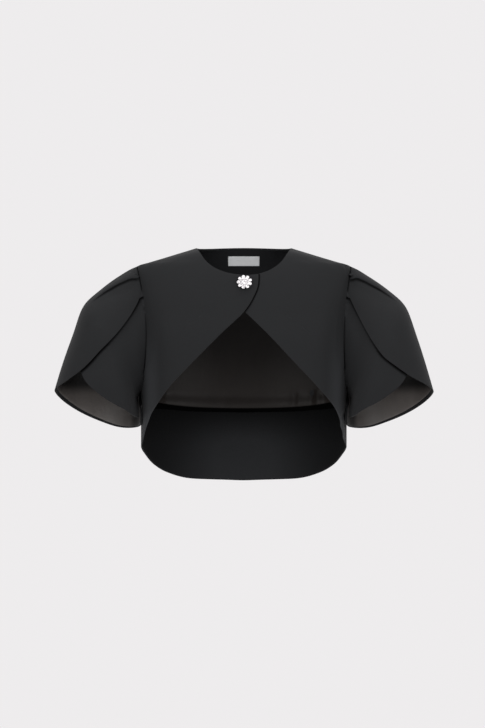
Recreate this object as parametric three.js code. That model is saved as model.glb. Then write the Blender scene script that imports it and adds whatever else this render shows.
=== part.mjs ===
// Cropped bolero jacket, standing filled out as if worn, with nobody in it.
// The frame is in millimetres: +X to the wearer's left, +Y to the wearer's back, +Z up. The origin is
// midway between the two points where the shoulder seams meet the neckline.
// Every cloth piece is a thin wall laid on one of two smooth forms. The body form is a stack of
// sections round the chest, and the sleeve form is a row of rings down the upper arm.
import * as THREE from "three";
import { mergeVertices } from "three/addons/utils/BufferGeometryUtils.js";

const DEG = Math.PI / 180;

// Cloth
const SHELL = 1.6; // crepe shell with its interlining
const LINING = 1.0;
const SEAM_GAP = 0.3; // between pieces that are sewn edge to edge
const ARMHOLE_GAP = 0.8;
const LAYER_GAP = 0.6; // between pieces that lie on each other
const UNDER_SHELL = SHELL + LAYER_GAP; // depth where a lining or facing starts

// Sections of the body from the neck down: half width, and depth to the front and to the back.
const BODY_SECTIONS = [
  { z: 0, half: 83, front: 38, back: 68 },
  { z: -16, half: 135.5, front: 58, back: 79 },
  { z: -29, half: 178, front: 67, back: 86 },
  { z: -31.7, half: 186.5, front: 69, back: 87 },
  { z: -36, half: 188.5, front: 72, back: 89 },
  { z: -60, half: 190, front: 86, back: 96 },
  { z: -110, half: 189, front: 107, back: 104 },
  { z: -175, half: 186, front: 124, back: 107 },
  { z: -225, half: 183, front: 126, back: 106 },
  { z: -290, half: 181, front: 122, back: 105 },
  { z: -356, half: 181, front: 118, back: 106 },
  { z: -420, half: 180, front: 115, back: 108 },
];
const BODY_SQUARE = 0.04; // how far a section's corners are filled out from an ellipse
const SHOULDER_ROW = 3; // the section at the shoulder point
const UNDERARM_Z = -252;
const SIDE_HEM_Z = -350;
const BACK_HEM_Z = -416;
const SIDE = 90; // the angle of the side seam and of the shoulder seam

// The armhole is an oval on the body form, and cuts in by these angles. It differs a little from
// side to side, as the jacket hangs.
const ARMHOLE = {
  right: { front: 31, back: 27 },
  left: { front: 27, back: 27 },
};
const ARMHOLE_POWER = 0.75;
const ARMHOLE_STEPS = 16; // from the shoulder point to the underarm, the same on every piece that meets

// Neckline and front edges, measured from the front on each panel's own side of the centre line.
const NECKLINE = [
  { x: 83, z: 0 },
  { x: 76, z: -11 },
  { x: 63, z: -29 },
  { x: 47, z: -41 },
  { x: 30, z: -48 },
  { x: 12, z: -51.5 },
  { x: -6, z: -52.5 },
  { x: -25, z: -51 },
];
const OVER_EDGE = [
  { x: -25, z: -51 },
  { x: -25.5, z: -63 },
  { x: -21.5, z: -78 },
  { x: -11, z: -100 },
  { x: -1, z: -115 },
  { x: 34, z: -148.5 },
  { x: 50, z: -164 },
  { x: 96, z: -210 },
  { x: 130, z: -246 },
  { x: 147, z: -270 },
  { x: 160, z: -289 },
  { x: 168, z: -307 },
  { x: 174.5, z: -329 },
];
const UNDER_EDGE = [
  { x: -25, z: -51 },
  { x: -24, z: -66 },
  { x: -16, z: -90 },
  { x: -3, z: -110 },
  { x: 8, z: -121 },
  { x: 34.5, z: -146.5 },
  { x: 84.5, z: -199.5 },
  { x: 129.5, z: -246.5 },
  { x: 150, z: -270 },
  { x: 161, z: -285 },
  { x: 167, z: -303 },
  { x: 172, z: -326 },
];
const OVERLAP_LIFT = 2.3; // the over front stands this far out where it lies on the under front
const LIFT_FULL_X = 30;
const LIFT_END_X = 80;

// The back hem, as a height for each angle round from the side seam to the centre back.
const BACK_HEM = [
  { angle: 90, z: SIDE_HEM_Z },
  { angle: 105, z: -363 },
  { angle: 120, z: -383 },
  { angle: 135, z: -400 },
  { angle: 152, z: -412 },
  { angle: 180, z: BACK_HEM_Z },
];

// Inside of the back
const BACK_NECK_RISE = 4.5; // the neckline stands this much higher at the centre back
const NECK_FACING_Z = -56;
// Where the lining is sewn to the hem facing, as a height for each angle
const FACING_SEAM = [
  { angle: 90, z: -266 },
  { angle: 120, z: -276 },
  { angle: 150, z: -283 },
  { angle: 180, z: -285 },
];
const FACING_EASE = 2; // a facing stops this far inside the shell's edge
const LINING_LAP = 7; // how far the lining's fold hangs over the facing
const LINING_STAND = 1.6; // and how far its lower edge stands off the facing
const FOLD_SWELL = 2.5; // the fold above it stands further off
const FOLD_HEIGHT = 22;
const LABEL = { width: 55, top: -8, bottom: -24.8, thick: 0.7 };

// Rings of each sleeve from the armhole (along 0) to the hem (along 1). A ring is set by its top and
// its underarm point as seen from the front, by its depth to the front and to the back, and by how far it
// leans to the front, which lays the sleeve against the body's side.
const SLEEVE_RINGS = {
  right: [
    { along: 0, topX: 188, topZ: -33, underX: 184.5, underZ: -252, front: 62, back: 66, lean: 0 },
    { along: 0.15, topX: 219, topZ: -54, underX: 184.6, underZ: -261, front: 74, back: 76, lean: 14 },
    { along: 0.3, topX: 249, topZ: -76.5, underX: 182.7, underZ: -270, front: 83, back: 84, lean: 27 },
    { along: 0.45, topX: 277, topZ: -101.5, underX: 181, underZ: -278, front: 88, back: 88, lean: 36 },
    { along: 0.65, topX: 296, topZ: -152.5, underX: 179.8, underZ: -288, front: 87, back: 88, lean: 40 },
    { along: 0.85, topX: 314.5, topZ: -205, underX: 179.4, underZ: -297, front: 82, back: 84, lean: 41 },
    { along: 1, topX: 327.5, topZ: -247, underX: 179.4, underZ: -304, front: 76, back: 79, lean: 40 },
  ],
  left: [
    { along: 0, topX: 188, topZ: -33, underX: 184.5, underZ: -252, front: 62, back: 66, lean: 0 },
    { along: 0.15, topX: 219, topZ: -54.5, underX: 184.6, underZ: -261, front: 74, back: 76, lean: 14 },
    { along: 0.3, topX: 250, topZ: -76.5, underX: 182.7, underZ: -270, front: 83, back: 84, lean: 27 },
    { along: 0.45, topX: 279, topZ: -102, underX: 181, underZ: -278, front: 88, back: 88, lean: 36 },
    { along: 0.65, topX: 298.5, topZ: -152.5, underX: 179.8, underZ: -288, front: 87, back: 88, lean: 40 },
    { along: 0.85, topX: 316, topZ: -207, underX: 179.4, underZ: -297, front: 82, back: 84, lean: 41 },
    { along: 1, topX: 328.5, topZ: -249, underX: 179.4, underZ: -304, front: 76, back: 79, lean: 40 },
  ],
};
const SLEEVE_SQUARE = 0.025;
const SLEEVE_EASE = 0.55; // the share of the sleeve over which it eases from the armhole to its rings

// The free edge of each petal, as places on the sleeve form: around in degrees from the top of the
// sleeve, towards the front, and along from the armhole to the hem.
const OVER_PETAL_EDGE = {
  right: [
    { around: -180, along: 1.1 },
    { around: -160, along: 1.21 },
    { around: -137, along: 1.265 },
    { around: -115, along: 1.245 },
    { around: -95, along: 1.185 },
    { around: -74, along: 1.135 },
    { around: -52, along: 1.09 },
    { around: -28, along: 1.05 },
    { around: -10, along: 1.025 },
    { around: 14, along: 0.995 },
    { around: 35, along: 0.95 },
    { around: 49, along: 0.89 },
    { around: 63, along: 0.78 },
    { around: 73.5, along: 0.62 },
    { around: 81.5, along: 0.425 },
    { around: 77, along: 0.2 },
    { around: 68.5, along: 0.085 },
    { around: 56.25, along: 0 },
  ],
  left: [
    { around: -180, along: 1.1 },
    { around: -160, along: 1.21 },
    { around: -137, along: 1.265 },
    { around: -115, along: 1.245 },
    { around: -95, along: 1.185 },
    { around: -74, along: 1.135 },
    { around: -52, along: 1.09 },
    { around: -28, along: 1.05 },
    { around: -10, along: 1.025 },
    { around: 14, along: 0.995 },
    { around: 35, along: 0.95 },
    { around: 50, along: 0.89 },
    { around: 61.5, along: 0.83 },
    { around: 75.5, along: 0.68 },
    { around: 87.5, along: 0.47 },
    { around: 84, along: 0.275 },
    { around: 74, along: 0.135 },
    { around: 56.25, along: 0 },
  ],
};
const UNDER_PETAL_EDGE = [
  { around: 180, along: 0.84 },
  { around: 157, along: 0.84 },
  { around: 132, along: 0.85 },
  { around: 110, along: 0.88 },
  { around: 91, along: 0.87 },
  { around: 75, along: 0.85 },
  { around: 64, along: 0.815 },
  { around: 48, along: 0.73 },
  { around: 28, along: 0.6 },
  { around: 8, along: 0.45 },
  { around: -14, along: 0.27 },
  { around: -45, along: 0 },
];
// The armhole step, past the top, where each petal's free edge starts
const OVER_PETAL_END = 5;
const UNDER_PETAL_END = 4;
const UNDER_PETAL_DEPTH = UNDER_SHELL + LINING + 1.9;
const PETAL_LINING_INSET = 0.02; // the lining stops short of the hem by this share of the sleeve

// The knife pleat at the head of each sleeve. Its folded edge faces the front and dies out.
const PLEAT = { rise: 4.5, rootAngle: 37, endAngle: 25, endAlong: 0.46, spread: 60, sharp: 7 };

// Flower button of cut stones
const BUTTON = { x: 1, z: -67.8, radius: 13.1, petals: 9, plate: 1.4, shank: 3.2, shankRadius: 3 };
const PETAL_STONE = { length: 7.2, width: 5.9, height: 2.8, taper: 0.26 };
const PETAL_TURN = 100 * DEG; // where the first petal points, from the wearer's left upwards
const CENTRE_STONE = { radius: 4.8, height: 3.6 };

const CLOTH = { color: 0x2c2d2f, roughness: 0.8, metalness: 0 };
const SATIN = { color: 0x2b2625, roughness: 0.4, metalness: 0 };
const LABEL_CLOTH = { color: 0xb4b6ba, roughness: 0.5, metalness: 0 };
const CRYSTAL = { color: 0xf2eef0, roughness: 0.08, metalness: 0 };
const SILVER = { color: 0xd0d0d4, roughness: 0.2, metalness: 1 };

const smoothstep = (low, high, v) => {
  const t = Math.min(1, Math.max(0, (v - low) / (high - low)));
  return t * t * (3 - 2 * t);
};
const lerp = (a, b, t) => a + (b - a) * t;

// A smooth curve through a table's rows: at(key, where) reads a column where `by` has that value.
// It never swings past the rows' own values.
function table(rows, by) {
  const at = (key, where) => {
    const n = rows.length;
    const rising = by(rows[n - 1], n - 1) > by(rows[0], 0) ? 1 : -1;
    let i = 0;
    while (i < n - 2 && (where - by(rows[i + 1], i + 1)) * rising > 0) i++;
    const slope = (a) => (rows[a + 1][key] - rows[a][key]) / (by(rows[a + 1], a + 1) - by(rows[a], a));
    const tangent = (a) => {
      if (a === 0) return slope(0);
      if (a === n - 1) return slope(n - 2);
      const [m0, m1] = [slope(a - 1), slope(a)];
      return m0 * m1 <= 0 ? 0 : (2 * m0 * m1) / (m0 + m1);
    };
    const [x0, x1] = [by(rows[i], i), by(rows[i + 1], i + 1)];
    const t = (where - x0) / (x1 - x0);
    const h = x1 - x0;
    const [a, b] = [rows[i][key], rows[i + 1][key]];
    if (t < 0) return a + tangent(i) * (where - x0);
    if (t > 1) return b + tangent(i + 1) * (where - x1);
    const t2 = t * t;
    const t3 = t2 * t;
    return (2 * t3 - 3 * t2 + 1) * a + (t3 - 2 * t2 + t) * h * tangent(i)
      + (3 * t2 - 2 * t3) * b + (t3 - t2) * h * tangent(i + 1);
  };
  return at;
}

// Points evenly spaced by length along a smooth curve through places {a, b}.
function spread(places, count, keys) {
  const curve = new THREE.CatmullRomCurve3(
    places.map((p) => new THREE.Vector3(p[keys[0]], p[keys[1]] * (keys[2] ?? 1), 0)), false, "centripetal");
  curve.arcLengthDivisions = 400;
  return curve.getSpacedPoints(count).map((p) => ({ [keys[0]]: p.x, [keys[1]]: p.y / (keys[2] ?? 1) }));
}

// How far down the outline each body section lies, measured along the shoulder and the side.
const DOWN = BODY_SECTIONS.map(() => 0);
for (let i = 1; i < BODY_SECTIONS.length; i++) {
  const [p, q] = [BODY_SECTIONS[i - 1], BODY_SECTIONS[i]];
  DOWN[i] = DOWN[i - 1] + Math.hypot(q.z - p.z, q.half - p.half);
}
const bodyAt = table(BODY_SECTIONS, (row, i) => DOWN[i]);
const SHOULDER_DOWN = DOWN[SHOULDER_ROW];

// The distance down the outline at which the form has this height.
function downAt(z) {
  let low = -40;
  let high = DOWN[DOWN.length - 1] + 20;
  for (let k = 0; k < 40; k++) {
    const mid = (low + high) / 2;
    if (bodyAt("z", mid) > z) low = mid;
    else high = mid;
  }
  return (low + high) / 2;
}
const UNDERARM_DOWN = downAt(UNDERARM_Z);
const SIDE_HEM_DOWN = downAt(SIDE_HEM_Z);

const across = (angle, square) =>
  (Math.sin(angle * DEG) + square * Math.sin(3 * angle * DEG)) / (1 - square);
const forward = (angle, square) =>
  (Math.cos(angle * DEG) - square * Math.cos(3 * angle * DEG)) / (1 - square);

// A point of the body form. Angle 0 is the centre front, 90 the side, 180 the centre back.
function body({ angle, down }) {
  const depth = forward(angle, BODY_SQUARE);
  return new THREE.Vector3(
    bodyAt("half", down) * across(angle, BODY_SQUARE),
    -bodyAt(depth > 0 ? "front" : "back", down) * depth,
    bodyAt("z", down));
}

// The outward normal of a form, from points close by on it.
function normalOf(form, place, keys, steps, centre) {
  const [a, b] = keys;
  const u = form({ ...place, [a]: place[a] + steps[0] }).sub(form({ ...place, [a]: place[a] - steps[0] }));
  const v = form({ ...place, [b]: place[b] + steps[1] }).sub(form({ ...place, [b]: place[b] - steps[1] }));
  const n = u.cross(v).normalize();
  return n.dot(form(place).sub(centre)) < 0 ? n.negate() : n;
}
const bodyNormal = (place) =>
  normalOf(body, { ...place, down: Math.max(place.down, 1) }, ["angle", "down"], [0.5, 1],
    new THREE.Vector3(0, 0, bodyAt("z", place.down) - 40));

// The place on the front of the body form that is seen at this x and z.
function frontPlace({ x, z }) {
  const down = downAt(z);
  const share = x / bodyAt("half", down);
  let low = -SIDE;
  let high = SIDE;
  for (let k = 0; k < 40; k++) {
    const mid = (low + high) / 2;
    if (across(mid, BODY_SQUARE) < share) low = mid;
    else high = mid;
  }
  return { angle: (low + high) / 2, down };
}

// Where the armhole is at step k, from the shoulder point (0) to the underarm.
function armholePlace(cut, k, facing) {
  const turn = (Math.PI * k) / ARMHOLE_STEPS;
  return {
    angle: SIDE + facing * cut * Math.sin(turn) ** ARMHOLE_POWER,
    down: lerp(SHOULDER_DOWN, UNDERARM_DOWN, (1 - Math.cos(turn)) / 2),
  };
}

// A closed wall from a grid of [outer, inner] point pairs.
function wall(grid) {
  const rows = grid.length;
  const columns = grid[0].length;
  const points = [];
  for (const layer of [0, 1]) for (const row of grid) for (const pair of row) points.push(pair[layer]);
  const id = (layer, j, i) => layer * rows * columns + j * columns + i;
  const faces = [];
  const quad = (a, b, c, d) => faces.push([a, b, c], [a, c, d]);
  for (let j = 0; j < rows - 1; j++)
    for (let i = 0; i < columns - 1; i++) {
      quad(id(0, j, i), id(0, j, i + 1), id(0, j + 1, i + 1), id(0, j + 1, i));
      quad(id(1, j, i), id(1, j + 1, i), id(1, j + 1, i + 1), id(1, j, i + 1));
    }
  for (let j = 0; j < rows - 1; j++) {
    quad(id(0, j, 0), id(0, j + 1, 0), id(1, j + 1, 0), id(1, j, 0));
    quad(id(0, j + 1, columns - 1), id(0, j, columns - 1), id(1, j, columns - 1), id(1, j + 1, columns - 1));
  }
  for (let i = 0; i < columns - 1; i++) {
    quad(id(0, 0, i + 1), id(0, 0, i), id(1, 0, i), id(1, 0, i + 1));
    quad(id(0, rows - 1, i), id(0, rows - 1, i + 1), id(1, rows - 1, i + 1), id(1, rows - 1, i));
  }
  return closed(points, faces);
}

// One closed geometry from points and faces: points that meet become one, and it faces out.
function closed(points, faces) {
  const loose = new THREE.BufferGeometry();
  loose.setAttribute("position", new THREE.Float32BufferAttribute(points.flatMap((p) => [p.x, p.y, p.z]), 3));
  loose.setIndex(faces.flat());
  const merged = mergeVertices(loose, 1e-2);
  const at = (i) => new THREE.Vector3().fromBufferAttribute(merged.attributes.position, i);
  let kept = [];
  let volume = 0;
  for (let f = 0; f < merged.index.count; f += 3) {
    const [a, b, c] = [0, 1, 2].map((k) => merged.index.getX(f + k));
    if (a === b || b === c || c === a) continue;
    kept.push([a, b, c]);
    volume += at(a).dot(at(b).cross(at(c)));
  }
  if (volume < 0) kept = kept.map(([a, b, c]) => [a, c, b]);
  merged.setIndex(kept.flat());
  merged.computeVertexNormals();
  return merged;
}

const mirrored = (p, side) => new THREE.Vector3(p.x * side, p.y, p.z);

// A wall on the body form: outer face at `outer` below the form, inner face at `inner` below it.
function bodyWall(places, outer, inner, side = 1) {
  return wall(places.map((row) => row.map((place) => {
    const n = bodyNormal(place);
    const lift = place.lift ?? 0;
    const p = body(place);
    return [outer, inner].map((depth) => mirrored(p.clone().addScaledVector(n, lift - depth), side));
  })));
}

const SHOULDER_STEPS = 6;

// The panel's outer side from the neck down: shoulder seam, armhole, side seam.
function panelSide(sideName, facing) {
  const cut = ARMHOLE[sideName][facing < 0 ? "front" : "back"];
  const seamSteps = 5;
  const places = [];
  for (let k = 0; k < SHOULDER_STEPS; k++)
    places.push({ angle: SIDE, down: (SHOULDER_DOWN * k) / SHOULDER_STEPS });
  for (let k = 0; k <= ARMHOLE_STEPS; k++) places.push(armholePlace(cut, k, facing));
  for (let k = 1; k <= seamSteps; k++)
    places.push({ angle: SIDE, down: lerp(UNDERARM_DOWN, SIDE_HEM_DOWN, k / seamSteps) });
  return places;
}

// Half the seam gap as an angle at the side of the form.
const halfGapAngle = (down) =>
  (SEAM_GAP / 2 / (1.17 * bodyAt("front", Math.max(down, 1)))) / DEG;

const FRONT_COLUMNS = 19;

// A front is a patch between four sides: shoulder seam, armhole with side seam, free edge, neckline.
function front(sideName, side, edge, lifted) {
  const outer = panelSide(sideName, -1).slice(SHOULDER_STEPS)
    .map((p) => ({ ...p, angle: p.angle - halfGapAngle(p.down) }));
  const rows = outer.length - 1;
  const last = outer[rows];
  const seam = Array.from({ length: FRONT_COLUMNS + 1 }, (_, i) => {
    const down = (SHOULDER_DOWN * i) / FRONT_COLUMNS;
    return { angle: SIDE - halfGapAngle(down), down };
  });
  const neck = spread(NECKLINE, rows, ["x", "z"]).map(frontPlace);
  neck[0] = seam[0];
  const hemPoint = body(last);
  const free = spread([...edge, { x: hemPoint.x, z: hemPoint.z }], FRONT_COLUMNS, ["x", "z"]).map(frontPlace);
  free[FRONT_COLUMNS] = last;
  const places = outer.map((across, j) => seam.map((top, i) => {
    const [u, v] = [i / FRONT_COLUMNS, j / rows];
    const [from, bottom] = [neck[j], free[i]];
    const blend = (key) => lerp(top[key], bottom[key], v) + lerp(from[key], across[key], u)
      - lerp(lerp(neck[0][key], seam[FRONT_COLUMNS][key], u), lerp(free[0][key], last[key], u), v);
    const place = { angle: blend("angle"), down: blend("down") };
    const x = body(place).x;
    place.lift = lifted ? OVERLAP_LIFT * (1 - smoothstep(LIFT_FULL_X, LIFT_END_X, x)) : 0;
    return place;
  }));
  return bodyWall(places, 0, SHELL, side);
}

const fromSide = (angle) => (angle <= 180 ? angle : 360 - angle);
const hemAt = table(BACK_HEM, (row) => row.angle);
const hemDown = (angle) => downAt(hemAt("z", fromSide(angle)));
const neckDown = (angle) => downAt(BACK_NECK_RISE * Math.sin((fromSide(angle) - SIDE) * DEG) ** 2);
const facingSeamAt = table(FACING_SEAM, (row) => row.angle);
const facingSeamDown = (angle, lap) => downAt(facingSeamAt("z", fromSide(angle)) - lap);

const BACK_COLUMNS = 26;

// How far in from the side the back's edge is, at this distance down the side.
function backCut(side) {
  const reach = (side - SHOULDER_DOWN) / (UNDERARM_DOWN - SHOULDER_DOWN);
  const turn = reach > 0 && reach < 1 ? Math.acos(1 - 2 * reach) : 0;
  return ARMHOLE.left.back * Math.sin(turn) ** ARMHOLE_POWER;
}

// The place where a column of the back crosses a row, which sags from the side to the centre.
function backPlace(side, column, inset = 0) {
  const edge = SIDE + backCut(side) + halfGapAngle(side) + inset;
  const angle = lerp(edge, 360 - edge, column / BACK_COLUMNS);
  const reach = smoothstep(SHOULDER_DOWN, SIDE_HEM_DOWN, side);
  const up = neckDown(angle) * (1 - smoothstep(0, SHOULDER_DOWN, side));
  return { angle, down: side + up + reach * (hemDown(angle) - SIDE_HEM_DOWN) };
}

// The back: rows from the neckline down, each from one side to the other.
function back() {
  return bodyWall(panelSide("left", 1).map(({ down }) =>
    Array.from({ length: BACK_COLUMNS + 1 }, (_, i) => backPlace(down, i))), 0, SHELL);
}

// A patch inside the back, on the back's own columns. `reach` gives the distance down of each row.
function insideBack({ rows, inset, reach, depth }) {
  return wall(Array.from({ length: rows + 1 }, (_, j) => Array.from({ length: BACK_COLUMNS + 1 }, (_, i) => {
    const end = i === 0 || i === BACK_COLUMNS;
    const place = (side) => backPlace(side, i, end ? inset : 0);
    const target = reach(j / rows, place(UNDERARM_DOWN).angle);
    let low = -40;
    let high = DOWN[DOWN.length - 1];
    for (let k = 0; k < 40; k++) {
      const mid = (low + high) / 2;
      if (place(mid).down < target) low = mid;
      else high = mid;
    }
    const at = place((low + high) / 2);
    const n = bodyNormal(at);
    return depth(target, at.angle).map((d) => body(at).addScaledVector(n, -d));
  })));
}

const laidUnder = () => [UNDER_SHELL, UNDER_SHELL + LINING];

function neckFacing() {
  const end = downAt(NECK_FACING_Z);
  return insideBack({
    rows: 9,
    inset: 3,
    reach: (v, angle) => lerp(neckDown(angle) + FACING_EASE, end, v),
    depth: laidUnder,
  });
}

// The lining hangs from the neck facing to the hem facing, and ends in a soft fold over the seam.
function backLining() {
  const start = downAt(NECK_FACING_Z - 1);
  const overFacing = LINING + LINING_STAND;
  return insideBack({
    rows: 18,
    inset: 3.5,
    reach: (v, angle) => lerp(start, facingSeamDown(angle, LINING_LAP), v),
    depth: (down, angle) => {
      const above = facingSeamDown(angle, LINING_LAP) - down;
      const rise = 1 - smoothstep(LINING_LAP + 4, LINING_LAP + FOLD_HEIGHT, above);
      const swell = rise * (overFacing + FOLD_SWELL * smoothstep(0, LINING_LAP + 3, above));
      return laidUnder().map((d) => d + swell);
    },
  });
}

function hemFacing() {
  return insideBack({
    rows: 6,
    inset: 2.5,
    reach: (v, angle) => lerp(facingSeamDown(angle, 0), hemDown(angle) - FACING_EASE, v),
    depth: laidUnder,
  });
}

function neckLabel() {
  const surface = UNDER_SHELL + LINING + LAYER_GAP;
  const half = LABEL.width / 2;
  const columns = 8;
  const rows = 2;
  const grid = Array.from({ length: rows + 1 }, (_, j) => {
    const down = downAt(lerp(LABEL.top, LABEL.bottom, j / rows));
    const share = half / (bodyAt("half", down) - surface);
    let low = 0;
    let high = SIDE;
    for (let k = 0; k < 40; k++) {
      const mid = (low + high) / 2;
      if (across(mid, BODY_SQUARE) < share) low = mid;
      else high = mid;
    }
    return Array.from({ length: columns + 1 }, (_, i) => {
      const place = { angle: 180 + low * (1 - (2 * i) / columns), down };
      const n = bodyNormal(place);
      return [surface, surface + LABEL.thick].map((d) => body(place).addScaledVector(n, -d));
    });
  });
  return wall(grid);
}

// The sleeve form of one side, built as if on the left, and its armhole.
function sleeveForm(sideName) {
  const ringAt = table(SLEEVE_RINGS[sideName], (row) => row.along);
  const ringCentre = (along) => new THREE.Vector3(
    (ringAt("topX", along) + ringAt("underX", along)) / 2, -ringAt("lean", along),
    (ringAt("topZ", along) + ringAt("underZ", along)) / 2);
  const ring = (around, along) => {
    const up = forward(around, SLEEVE_SQUARE) / 2;
    const depth = across(around, SLEEVE_SQUARE);
    const centre = ringCentre(along);
    return new THREE.Vector3(
      centre.x + up * (ringAt("topX", along) - ringAt("underX", along)),
      centre.y - depth * ringAt(depth > 0 ? "front" : "back", along),
      centre.z + up * (ringAt("topZ", along) - ringAt("underZ", along)));
  };
  const armCentre = ringCentre(0);
  const seam = (turned) => {
    const around = turned > 180 ? turned - 360 : turned < -180 ? turned + 360 : turned;
    const facing = around >= 0 ? -1 : 1;
    const step = (Math.abs(around) / 180) * ARMHOLE_STEPS;
    return armholePlace(ARMHOLE[sideName][facing < 0 ? "front" : "back"], step, facing);
  };
  // The body's normal at the armhole, and the way across the seam into the hole.
  const atSeam = (around) => {
    const n = bodyNormal(seam(around));
    const wide = 2;
    const tangent = body(seam(around + wide)).sub(body(seam(around - wide)));
    const into = tangent.cross(n).normalize();
    if (into.dot(armCentre.clone().sub(body(seam(around)))) < 0) into.negate();
    return { n, into };
  };
  const root = (around) => body(seam(around)).addScaledVector(atSeam(around).into, ARMHOLE_GAP);
  const form = ({ around, along }) => {
    const ease = (1 - Math.min(1, along / SLEEVE_EASE)) ** 2;
    const p = ring(around, along);
    return ease > 0 ? p.addScaledVector(root(around).sub(ring(around, 0)), ease) : p;
  };
  const inward = ({ around, along }) => {
    const n = normalOf(form, { around, along: Math.max(along, 0.01) }, ["around", "along"], [0.5, 0.004],
      ringCentre(Math.max(along, 0.02))).negate();
    const near = 1 - smoothstep(0.02, 0.2, along);
    if (near <= 0) return n;
    const { into } = atSeam(around);
    const back = Math.min(0, n.dot(into));
    return n.addScaledVector(into, -back * near).normalize();
  };
  return { form, inward };
}

// How far the sleeve head's pleat lifts the over petal at a place.
function pleatLift({ around, along }) {
  const fold = lerp(PLEAT.rootAngle, PLEAT.endAngle, Math.min(1, along / PLEAT.endAlong));
  const fade = smoothstep(0, 0.06, along) * (1 - smoothstep(PLEAT.endAlong * 0.35, PLEAT.endAlong, along));
  const behind = fold - around;
  if (behind < -PLEAT.sharp) return 0;
  const step = smoothstep(-PLEAT.sharp, 0, behind);
  return PLEAT.rise * fade * step * (1 - smoothstep(0, PLEAT.spread, behind));
}

const PETAL_ROWS = 12;

// Places over a petal: lines from the armhole out to its free edge, starting at the underarm seam.
function petalPlaces(edge, way, end, inset) {
  const lines = ARMHOLE_STEPS + end;
  const seamAngle = 0.12;
  const free = spread(edge, lines, ["around", "along", 120]);
  return Array.from({ length: lines + 1 }, (_, k) => {
    const around = way * (180 - (180 * k) / ARMHOLE_STEPS) - (k === 0 ? way * seamAngle : 0);
    const to = k === lines ? { around, along: 0 } : free[k];
    if (k === 0) to.around = around;
    return Array.from({ length: PETAL_ROWS + 1 }, (_, i) => {
      const t = Math.min(i / PETAL_ROWS, 1 - inset);
      return { around: lerp(around, to.around, t), along: lerp(0, to.along, t), share: t };
    });
  });
}

function sleeveWall(shape, side, places, faces) {
  return wall(places.map((line) => line.map((place) => {
    const n = shape.inward(place);
    return faces(place).map((d) => mirrored(shape.form(place).addScaledVector(n, d), side));
  })));
}

// The over petal comes from the underarm round the back and over the top to the front.
function overPetal(sideName, side) {
  const places = petalPlaces(OVER_PETAL_EDGE[sideName], -1, OVER_PETAL_END, 0);
  return sleeveWall(sleeveForm(sideName), side, places, (place) => {
    const lift = pleatLift(place);
    return [-lift, SHELL - lift];
  });
}

function overPetalLining(sideName, side) {
  const places = petalPlaces(OVER_PETAL_EDGE[sideName], -1, OVER_PETAL_END, PETAL_LINING_INSET);
  const lines = places.slice(0, -1);
  lines[0] = lines[0].map((p) => ({ ...p, around: p.around + 0.4 }));
  return sleeveWall(sleeveForm(sideName), side, lines, ({ share }) => {
    const slack = 0.2 * smoothstep(0.75, 1, share);
    return laidUnder().map((d) => d + slack);
  });
}

// The under petal comes from the underarm round the front and passes beneath the over petal.
function underPetal(sideName, side) {
  const places = petalPlaces(UNDER_PETAL_EDGE, 1, UNDER_PETAL_END, 0);
  const endAngle = (180 * OVER_PETAL_END) / ARMHOLE_STEPS;
  return sleeveWall(sleeveForm(sideName), side, places, ({ around, along }) => {
    const edge = endAngle + Math.min(30, 150 * along);
    const covered = 1 - smoothstep(edge + 4, edge + 30, around);
    const depth = UNDER_PETAL_DEPTH * Math.max(covered, smoothstep(0, 0.22, along));
    return [depth, depth + SHELL];
  });
}

// Places a shape made round the Z axis on the over front where the button is sewn.
const BUTTON_PLACE = frontPlace({ x: -BUTTON.x, z: BUTTON.z });
const BUTTON_AXIS = bodyNormal(BUTTON_PLACE);
const BUTTON_SEAT = body(BUTTON_PLACE).addScaledVector(BUTTON_AXIS, OVERLAP_LIFT + SEAM_GAP);

function onButton(geometry) {
  const axis = mirrored(BUTTON_AXIS, -1);
  const turn = new THREE.Quaternion().setFromUnitVectors(new THREE.Vector3(0, 0, 1), axis);
  geometry.applyQuaternion(turn);
  const seat = mirrored(BUTTON_SEAT, -1);
  return geometry.translate(seat.x, seat.y, seat.z);
}

// The flower-shaped plate that the stones sit on, its outline a circle with one lobe for each petal.
function buttonPlate() {
  const outline = new THREE.Shape();
  const steps = BUTTON.petals * 6;
  for (let k = 0; k < steps; k++) {
    const turn = (2 * Math.PI * k) / steps;
    const r = BUTTON.radius - 2.6 + 1.5 * Math.cos(BUTTON.petals * turn);
    const [x, y] = [r * Math.cos(turn + PETAL_TURN), r * Math.sin(turn + PETAL_TURN)];
    if (k === 0) outline.moveTo(x, y);
    else outline.lineTo(x, y);
  }
  const plate = new THREE.ExtrudeGeometry(outline, { depth: BUTTON.plate, bevelEnabled: false });
  return onButton(plate.translate(0, 0, BUTTON.shank + SEAM_GAP));
}

// A cut stone: a low faceted dome on a flat back, made round and then drawn out to its length.
function stone(radius, height, facets) {
  const profile = [[0, 0], [0.86, 0], [1, 0.3], [0.62, 0.84], [0, 1]];
  return new THREE.LatheGeometry(profile.map(([r, h]) => new THREE.Vector2(r * radius, h * height)), facets)
    .rotateX(Math.PI / 2);
}
const STONE_SEAT = BUTTON.shank + BUTTON.plate + 2 * SEAM_GAP;

function petalStone(k) {
  const gem = stone(PETAL_STONE.length / 2, PETAL_STONE.height, 12);
  gem.scale(1, PETAL_STONE.width / PETAL_STONE.length, 1);
  const at = gem.attributes.position;
  for (let i = 0; i < at.count; i++)
    at.setY(i, at.getY(i) * (1 + (PETAL_STONE.taper * at.getX(i)) / (PETAL_STONE.length / 2)));
  gem.computeVertexNormals();
  gem.translate(BUTTON.radius - PETAL_STONE.length / 2, 0, STONE_SEAT);
  gem.rotateZ(PETAL_TURN + (2 * Math.PI * k) / BUTTON.petals);
  return onButton(gem);
}

const parts = new THREE.Group();

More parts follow.
